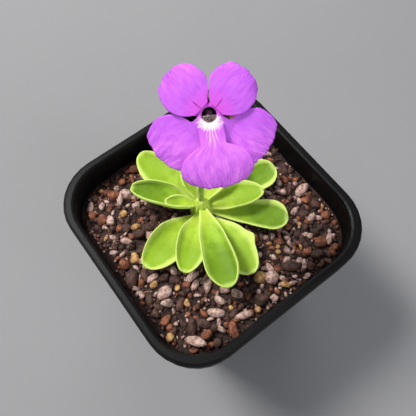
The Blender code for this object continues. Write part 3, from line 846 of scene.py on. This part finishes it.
rayed = petal.blend(rays * ray_reach * 0.85, streaked, colour(96, 14, 104))
# painted shade: the walls just inside the throat's mouth are darkened, for the shade down in the tube
inside = 1.0 - radius.ramp(1.30, 1.62)
throat_with_painted_shade = petal.blend(inside, rayed, colour(52, 14, 62))
petal.feed("Base Color", throat_with_painted_shade)
petal.relief(0.35 * petal.noise(0.3, 3.0) - vein * 0.4, 0.12, 0.7)
print("all petal nodes:", len(petal.tree.nodes))

# %% [markdown]
# ### Shape of a lobe
# A lobe swells from its neck to its broadest place and then ends in a blunt, wavy edge. The two upper
# lobes meet in a straight narrow slit, the side lobes lie behind, and the lower one is a fan.

# %% Five lobes, in degrees round the throat and millimetres
LOBES = [
    dict(name="upper_left", angle=134, reach=11.4, width=10.0, lift=-0.3, arch=0.5, droop=0.7,
         neck=1.9, blunt=0.44, side=-1),
    dict(name="upper_right", angle=45.5, reach=11.25, width=10.1, lift=-0.3, arch=0.5, droop=0.7,
         neck=1.9, blunt=0.44, side=1),
    dict(name="side_left", angle=218.5, reach=13.7, width=12.2, lift=-1.3, arch=0.5, droop=0.2,
         neck=1.1, blunt=0.42, middle=8.6, shoulder=4.9),
    dict(name="side_right", angle=329.5, reach=14.2, width=12.1, lift=-1.3, arch=0.5, droop=0.2,
         neck=1.1, blunt=0.4, middle=9.2, shoulder=4.9),
    dict(name="lower", angle=277.5, reach=15.2, width=15.1, lift=0.4, arch=0.5, droop=0.6,
         neck=2.6, blunt=0.45, middle=10.75, shoulder=4.9),
]
LOBE_ROOT = 1.9
SLIT_HALF = 0.03
SLIT_BEND = 0.5
print("the flower is about", LOBES[4]["reach"] + LOBES[0]["reach"], "mm tall")


# %% The middle surface of a lobe
def keep_to_side(x, side):
    """Bends the inner edge of an upper lobe straight, so that a narrow slit stays between the two."""
    away = x * side
    if away > SLIT_BEND:
        return x
    room = SLIT_BEND - SLIT_HALF
    return side * (SLIT_HALF + room * math.exp((away - SLIT_BEND) / room))


def lobe_surface(lobe):
    """Rounded, or for the lower lobe a fan on a neck, with a crinkled edge and shallow pleats."""
    angle = math.radians(lobe["angle"])
    neck = lobe["neck"]
    reach = lobe["reach"] - LOBE_ROOT
    broad = lobe["width"] / 2
    middle = lobe.get("middle", LOBE_ROOT + reach / 2)
    shoulder = lobe.get("shoulder", middle - LOBE_ROOT)
    blunt = lobe["blunt"]
    phase = lobe["angle"] * 0.7

    def surface(u, v):
        far = LOBE_ROOT + reach * u
        if far < middle:
            swell = max(0.0, 1.0 - ((middle - far) / shoulder) ** 2) ** 0.6
            half = math.hypot(neck, math.sqrt(broad * broad - neck * neck) * swell)
        else:
            share = (far - middle) / (lobe["reach"] - middle)
            half = broad * math.sqrt(1.0 - blunt * share * share)
            far = middle + (lobe["reach"] - middle) * share * math.sqrt(1.0 - blunt * v * v)
        crinkle = 0.10 * math.sin(9.0 * v + phase) + 0.06 * math.sin(23.0 * v + phase * 2.0)
        far += (crinkle + 0.04 * math.sin(47.0 * v)) * u ** 8
        wide = half * v
        wide += (0.07 * math.sin(19.0 * u + phase) + 0.04 * math.sin(41.0 * u)) * v ** 7 * u
        height = lobe["lift"] * min(1.0, u / 0.3)
        height += lobe["arch"] * math.sin(math.pi * u) - lobe["droop"] * (v * v * u + u ** 4)
        height += (0.03 * math.cos(11.0 * v + phase) + 0.02 * math.cos(29.0 * v + phase)) * u * u
        height += 0.14 * math.sin(6.5 * v + phase * 1.7) * u ** 5
        x = far * math.cos(angle) - wide * math.sin(angle)
        y = far * math.sin(angle) + wide * math.cos(angle)
        if "side" in lobe:
            x = keep_to_side(x, lobe["side"])
        return in_flower(x, y, height)

    return surface


def petal_thickness(u, v):
    """Thin, and a little thicker where the lobe joins the throat."""
    return 0.36 + 0.4 * (1.0 - u) ** 4


def face_uv(points):
    """Where each point is as seen from the front of the flower."""
    pairs = []
    for point in points:
        offset = Vector(point) - THROAT
        pairs.append((offset.dot(RIGHT) / FACE_SPAN + 0.5, offset.dot(UP) / FACE_SPAN + 0.5))
    return pairs


print("a petal is", petal_thickness(1.0, 0.0), "mm thick at its tip")

# %% [markdown]
# ### Tube and spur
# Behind the lobes the petals grow together into a short tube, which narrows to a spur that hangs down.
# Rings along a smooth path give both, and the last rings turn back in to line the open throat.


# %% Path and rings of a tube
def smooth_path(knots, steps):
    """Points on a smooth curve through every knot."""
    path = []
    for i in range(len(knots) - 1):
        before = knots[max(i - 1, 0)]
        start = knots[i]
        end = knots[i + 1]
        after = knots[min(i + 2, len(knots) - 1)]
        for step in range(steps):
            t = step / steps
            b = (end - before) * t
            c = (2 * before - 5 * start + 4 * end - after) * t * t
            d = (3 * start - before - 3 * end + after) * t * t * t
            path.append((2 * start + b + c + d) / 2)
    path.append(knots[-1])
    return path


def tube_rings(path, radii, sides):
    """Rings round a path, each turned as little as possible from the one before."""
    rings = []
    across = None
    for i, point in enumerate(path):
        along_path = (path[min(i + 1, len(path) - 1)] - path[max(i - 1, 0)]).normalized()
        if across is None:
            across = along_path.orthogonal().normalized()
        across = (across - along_path * across.dot(along_path)).normalized()
        other = along_path.cross(across)
        ring = []
        for side in range(sides):
            angle = 2 * math.pi * side / sides
            ring.append(point + (across * math.cos(angle) + other * math.sin(angle)) * radii[i])
        rings.append(ring)
    return rings


def spread(values, count):
    """This many numbers, spaced evenly along a list of values."""
    return list(np.interp(np.linspace(0, len(values) - 1, count), range(len(values)), values))


print("three widths spread over five rings:", spread([2.0, 1.0, 0.5], 5))

# %% Several shapes as one mesh
def join_parts(parts):
    """Points and faces of several meshes as one."""
    points = []
    faces = []
    for part_points, part_faces in parts:
        start = len(points)
        points += [tuple(point) for point in part_points]
        faces += [tuple(start + i for i in face) for face in part_faces]
    return points, faces


# %% Tube that ends in a spur
TUBE_SIDES = 40
THROAT_LINING = [(1.95, 0.18), (1.7, 0.1), (1.52, -0.25), (1.45, -0.9), (1.38, -2.5), (1.2, -4.1)]
CLEAR_OF_PATTERN = (0.5, 0.9)


def make_tube():
    """Points and faces from the spur's tip to the mouth and back into the throat."""
    outer = THROAT_RADIUS + TUBE_WALL
    knots = [
        in_flower(0.0, 0.0, -1.0),
        in_flower(0.0, 0.0, -TUBE_LENGTH * 0.6),
        in_flower(0.0, -0.35, -TUBE_LENGTH),
        in_flower(0.0, -1.5, -TUBE_LENGTH - 2.8),
        in_flower(0.0, -3.0, -TUBE_LENGTH - 5.44),
        in_flower(0.0, -4.4, -TUBE_LENGTH - 7.84),
    ]
    path = smooth_path(knots, 8)
    radii = spread([outer, outer - 0.1, outer - 0.2, 1.6, 1.05, 0.85, 0.72, 0.6, 0.45], len(path))
    rings = tube_rings(list(reversed(path)), list(reversed(radii)), TUBE_SIDES)
    mouth = [path[0] + (point - path[0]) * 1.16 + FORWARD for point in rings[-1]]
    rings.append(mouth)
    for inner, depth in THROAT_LINING:
        ring = []
        for point in mouth:
            spoke = point - THROAT
            spoke -= FORWARD * spoke.dot(FORWARD)
            ring.append(THROAT + spoke.normalized() * inner + FORWARD * depth)
        rings.append(ring)
    points, faces = loft(rings)
    return points, faces, TUBE_SIDES * len(path)


# %% Build the corolla
def make_corolla():
    parts = []
    lobe_numbers = []
    for lobe in LOBES:
        points, faces, uv = blade(lobe_surface(lobe), petal_thickness, 44, 52)
        parts.append((points, faces))
        lobe_numbers += uv
    tube_points, tube_faces, outside = make_tube()
    parts.append((tube_points, tube_faces))
    lobe_numbers += [(0.25, 0.5)] * len(tube_points)
    points, faces = join_parts(parts)
    seen_from_front = face_uv(points)
    first = len(points) - len(tube_points)
    for i in range(first, first + outside):
        seen_from_front[i] = CLEAR_OF_PATTERN
    piece = add_piece("petals", points, faces, ("corolla",), petal.material, 180.0)
    write_uv(piece, "lobe", lobe_numbers)
    write_uv(piece, "face", seen_from_front)
    return piece


make_corolla()

# %% [markdown]
# ## Throat
# The lower half of the throat is closed by short beige hairs, which guide an insect past the stigma.
# Particle hair would not be exported as a mesh, so each hair is a tapered four-sided spike.
# The stigma is a small dark flap under the upper lip, and its CAD solid only takes a finish.

# %% Finishes in the throat
hair_beige = Finish("throat_hair", Roughness=0.6)
speckle = hair_beige.noise(0.4).ramp(0.35, 0.65)
beige = hair_beige.blend(speckle, colour(168, 142, 140), colour(222, 208, 204))
hair_beige.feed("Base Color", beige)
stigma_purple = Finish("stigma_tissue", Roughness=0.5)
purple = stigma_purple.blend(stigma_purple.noise(0.5), colour(52, 16, 54), colour(92, 36, 84))
stigma_purple.feed("Base Color", purple)
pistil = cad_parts["pistil"]
pistil.data.materials.clear()
pistil.data.materials.append(stigma_purple.material)
print("the pistil's solid has", len(pistil.data.polygons), "faces")


# %% Hairs of the throat
def hair(root, tip, thick):
    """A four-sided hair that tapers to a point."""
    way = (tip - root).normalized()
    across_hair = way.orthogonal().normalized() * thick
    other = way.cross(across_hair)
    points = [root + across_hair, root + other, root - across_hair, root - other, tip]
    return points, [(0, 1, 4), (1, 2, 4), (2, 3, 4), (3, 0, 4), (3, 2, 1, 0)]


THROAT_HAIRS = 230
draw = random.Random(12)
throat_hairs = []
for _ in range(THROAT_HAIRS):
    angle = math.radians(draw.uniform(183, 357))
    out = draw.uniform(0.2, 1.5)
    depth = draw.uniform(-1.2, 0.1) * (1.6 - out) - 0.05
    root = in_flower(out * math.cos(angle), out * math.sin(angle) - 0.05, depth - 0.3)
    tip = in_flower(
        (out - 0.25) * math.cos(angle) + draw.gauss(0, 0.12),
        (out - 0.25) * math.sin(angle) + draw.gauss(0, 0.12),
        depth + draw.uniform(0.3, 0.6),
    )
    throat_hairs.append(hair(root, tip, 0.075))
points, faces = join_parts(throat_hairs)
add_piece("throat_hairs", points, faces, (), hair_beige.material)

# %% [markdown]
# ## Calyx and stalk
# The calyx is a small green cup with five blunt sepals. The stalk is bare, thins upwards and bends over
# at its top, so it is a tube along a smooth path. Short hairs stand on it, each with a clear drop.

# %% Finish of the stalk
stalk_green = Finish("stalk_tissue", Roughness=0.42, Subsurface_Weight=0.12, Subsurface_Scale=0.0008)
streak = stalk_green.noise(1.1, 4.0)
height_up = stalk_green.node("ShaderNodeSeparateXYZ", None, {0: stalk_green.place()}, "Z")
green = stalk_green.blend(streak.ramp(0.3, 0.7), colour(112, 146, 52), colour(150, 178, 74))
tinted = stalk_green.blend(height_up.ramp(0.085, 0.108) * 0.65, green, colour(112, 70, 62))
stalk_green.feed("Base Color", tinted)
stalk_green.relief(streak, 0.08, 0.5)
drop_clear = Finish("gland_drop", Roughness=0.08, IOR=1.36)
glassy = drop_clear.blend(drop_clear.noise(1.0), colour(206, 196, 172), colour(228, 224, 200))
drop_clear.feed("Base Color", glassy)
print("stalk nodes:", len(stalk_green.tree.nodes))

# %% Stalk
RECEPTACLE = (0.0, 1.7, -(TUBE_LENGTH + 2.6))
RECEPTACLE_RADIUS = 1.15
STALK_RADIUS = 0.75
STALK_TAPER = 0.2


def stalk_path():
    level = (FORWARD - Vector((0.0, 0.0, FORWARD.z))).normalized()
    start = Vector((CROWN.x, CROWN.y, CROWN_TOP - 0.2))
    end = in_flower(*RECEPTACLE) - FORWARD * (RECEPTACLE_RADIUS * 0.8)
    below = end - level * 2.5 - Vector((0.0, 0.0, 6.0))
    knots = [
        start,
        start.lerp(below, 0.3) + RIGHT * -0.5 - level * 0.5,
        start.lerp(below, 0.65) + RIGHT * -0.3 - level * 0.6,
        below,
        end - level * 1.9 - Vector((0.0, 0.0, 1.5)),
        end,
    ]
    return smooth_path(knots, 12)


path = stalk_path()
radii = [STALK_RADIUS - STALK_TAPER * i / (len(path) - 1) for i in range(len(path))]
points, faces = loft(tube_rings(path, radii, 24))
add_piece("bare_stalk", points, faces, ("flower_stalk",), stalk_green.material)

# %% Calyx
SEPALS = [
    dict(turn=90, length=3.6),
    dict(turn=46, length=3.4),
    dict(turn=134, length=3.4),
    dict(turn=0, length=3.0),
    dict(turn=180, length=3.0),
]


def sepal_surface(turn, length):
    clear = THROAT_RADIUS + TUBE_WALL + 0.65

    def surface(u, v):
        back = RECEPTACLE[2] + 0.3 + length * u * 1.25
        share = min(1.0, u / 0.34)
        eased = share * share * (3.0 - 2.0 * share)
        swell = 0.55 + 0.42 * math.sin(math.pi * min(1.0, u * 1.05))
        half = swell * math.sqrt(max(0.04, 1.0 - u ** 5)) - 0.1 * u
        x = math.cos(turn) * clear * eased - math.sin(turn) * half * v
        y = math.sin(turn) * clear * eased + math.cos(turn) * half * v + RECEPTACLE[1] * (1.0 - eased)
        return in_flower(x, y, back)

    return surface


def make_calyx():
    ball, triangles = BALLS[3]
    cup = []
    for x, y, z in ball * RECEPTACLE_RADIUS:
        cup.append(in_flower(x + RECEPTACLE[0], y + RECEPTACLE[1], z * 0.9 + RECEPTACLE[2]))
    parts = [(cup, triangles.tolist())]
    for sepal in SEPALS:
        surface = sepal_surface(math.radians(sepal["turn"]), sepal["length"])
        points, faces, _ = blade(surface, lambda u, v: 0.55 - 0.2 * v * v, 18, 12)
        parts.append((points, faces))
    points, faces = join_parts(parts)
    return add_piece("green_calyx", points, faces, ("calyx",), stalk_green.material, 180.0)


make_calyx()


# %% Hairs with drops on the stalk
def drop(centre, size):
    ball, triangles = BALLS[1]
    return [centre + Vector(point) * size for point in ball], triangles.tolist()


STALK_HAIRS = 420
draw = random.Random(77)
gland_hairs = []
gland_drops = []
for _ in range(STALK_HAIRS):
    i = min(len(path) - 2, int(draw.random() * (len(path) - 1)))
    way = (path[i + 1] - path[i]).normalized()
    out = way.orthogonal().normalized()
    out.rotate(Matrix.Rotation(draw.uniform(0.0, 2 * math.pi), 3, way))
    root = path[i].lerp(path[i + 1], draw.random()) + out * (radii[i] - 0.08)
    tip = root + out * draw.uniform(0.35, 0.6)
    gland_hairs.append(hair(root, tip, 0.05))
    gland_drops.append(drop(tip, draw.uniform(0.06, 0.10)))
points, faces = join_parts(gland_hairs)
add_piece("stalk_hairs", points, faces, (), stalk_green.material)
points, faces = join_parts(gland_drops)
add_piece("stalk_drops", points, faces, (), drop_clear.material, 180.0)

# %% [markdown]
# ## Sticky glands on the leaves
# Butterwort leaves trap gnats with thousands of tiny stalked drops. They are too small to read one by
# one, yet they give the leaf its greasy sparkle. A bump could hint at them, but only real balls catch
# the light, so a thinned-out share of them is modelled.

# %% Drops on the leaves
DROPS_PER_MM = 4.0
draw = random.Random(58)
leaf_drops = []
for leaf in LEAVES:
    surface = leaf_surface(leaf)
    for _ in range(int(DROPS_PER_MM * leaf["length"])):
        u = 0.12 + 0.85 * draw.random() ** 0.8
        v = draw.uniform(-0.86, 0.86)
        point = surface(u, v)
        normal = (surface(u + 0.004, v) - point).cross(surface(u, v + 0.004) - point).normalized()
        rise = leaf_thickness(u, v) / 2 + draw.uniform(0.04, 0.16)
        leaf_drops.append(drop(point + normal * rise, draw.uniform(0.04, 0.07)))
points, faces = join_parts(leaf_drops)
add_piece("leaf_drops", points, faces, (), drop_clear.material, 180.0)

# %% [markdown]
# ## Floor, light and camera
# A plain pale floor and soft square lamps, the main one high on the left. Small lamps would draw hard
# shadows, and one large sky alone would leave the petals flat, so there are three and a weak sky.
# The camera looks steeply down from the front left, where the flower and the pot's mouth fill the frame.

# %% Floor
floor_grey = Finish("floor_grey", Roughness=0.85)
grey = floor_grey.blend(floor_grey.noise(60.0), colour(134, 134, 136), colour(140, 140, 142))
floor_grey.feed("Base Color", grey)
FLOOR_HALF = 3.0
floor_corners = [(x * FLOOR_HALF, y * FLOOR_HALF, 0.0) for x, y in ((-1, -1), (1, -1), (1, 1), (-1, 1))]
floor_mesh = bpy.data.meshes.new("floor")
floor_mesh.from_pydata(floor_corners, [], [(0, 1, 2, 3)])
floor_mesh.materials.append(floor_grey.material)
floor = bpy.data.objects.new("floor", floor_mesh)
bpy.context.scene.collection.objects.link(floor)
print("the floor is", 2 * FLOOR_HALF, "m wide")


# %% Lamps and sky
def add_lamp(name, place, size, power, tint):
    lamp = bpy.data.lights.new(name, "AREA")
    lamp.shape = "SQUARE"
    lamp.size = size
    lamp.energy = power
    lamp.color = tint
    holder = bpy.data.objects.new(name, lamp)
    holder.location = place
    aim = Vector((0.0, 0.0, 0.07)) - Vector(place)
    holder.rotation_euler = aim.to_track_quat("-Z", "Y").to_euler()
    bpy.context.scene.collection.objects.link(holder)
    return holder


def camera_axes(elevation, azimuth, roll):
    """Right, up and back of a camera that looks at the object from this height angle and side."""
    back = Vector((
        math.sin(azimuth) * math.cos(elevation),
        -math.cos(azimuth) * math.cos(elevation),
        math.sin(elevation),
    ))
    right = Vector((math.cos(azimuth), math.sin(azimuth), 0.0))
    up = back.cross(right)
    turned_right = right * math.cos(roll) + up * math.sin(roll)
    turned_up = up * math.cos(roll) - right * math.sin(roll)
    return turned_right, turned_up, back


CAMERA_ELEVATION = math.radians(67.35)
CAMERA_AZIMUTH = math.radians(-34.33)
CAMERA_ROLL = math.radians(-2.90)
CAMERA_DISTANCE = 138.03
LOOKS_AT = Vector((-0.06, 0.96, POT_HEIGHT))
FOCAL_PIXELS = 480.0
FRAME_PIXELS = 416.0
SENSOR = 36.0

view_right, view_up, view_back = camera_axes(CAMERA_ELEVATION, CAMERA_AZIMUTH, CAMERA_ROLL)
key_place = view_right * -0.36 + view_up * 0.40 + view_back * 0.55
add_lamp("key_lamp", key_place, 0.20, 6.2, (1.0, 0.98, 0.95))
fill_place = view_right * 0.55 + view_up * -0.25 + view_back * 0.55
add_lamp("fill_lamp", fill_place, 0.6, 2.4, (0.93, 0.96, 1.0))
add_lamp("back_lamp", (0.35, 0.45, 0.35), 0.4, 1.2, (1.0, 1.0, 1.0))
world = bpy.data.worlds.new("studio")
world.use_nodes = True
world.node_tree.nodes["Background"].inputs[0].default_value = (0.92, 0.95, 1.0, 1.0)
world.node_tree.nodes["Background"].inputs[1].default_value = 0.34
bpy.context.scene.world = world
bpy.context.scene.view_settings.view_transform = "Standard"

# %% Camera
camera_data = bpy.data.cameras.new("camera")
camera_data.sensor_width = SENSOR
camera_data.lens = FOCAL_PIXELS / FRAME_PIXELS * SENSOR
camera_data.clip_start = 0.005
camera = bpy.data.objects.new("camera", camera_data)
place = (LOOKS_AT + view_back * CAMERA_DISTANCE) * MM
turn = Matrix((view_right, view_up, view_back)).transposed().to_4x4()
camera.matrix_world = Matrix.Translation(place) @ turn
bpy.context.scene.collection.objects.link(camera)
bpy.context.scene.camera = camera
print("camera height in metres:", round(place.z, 4), "and lens in mm:", round(camera_data.lens, 1))
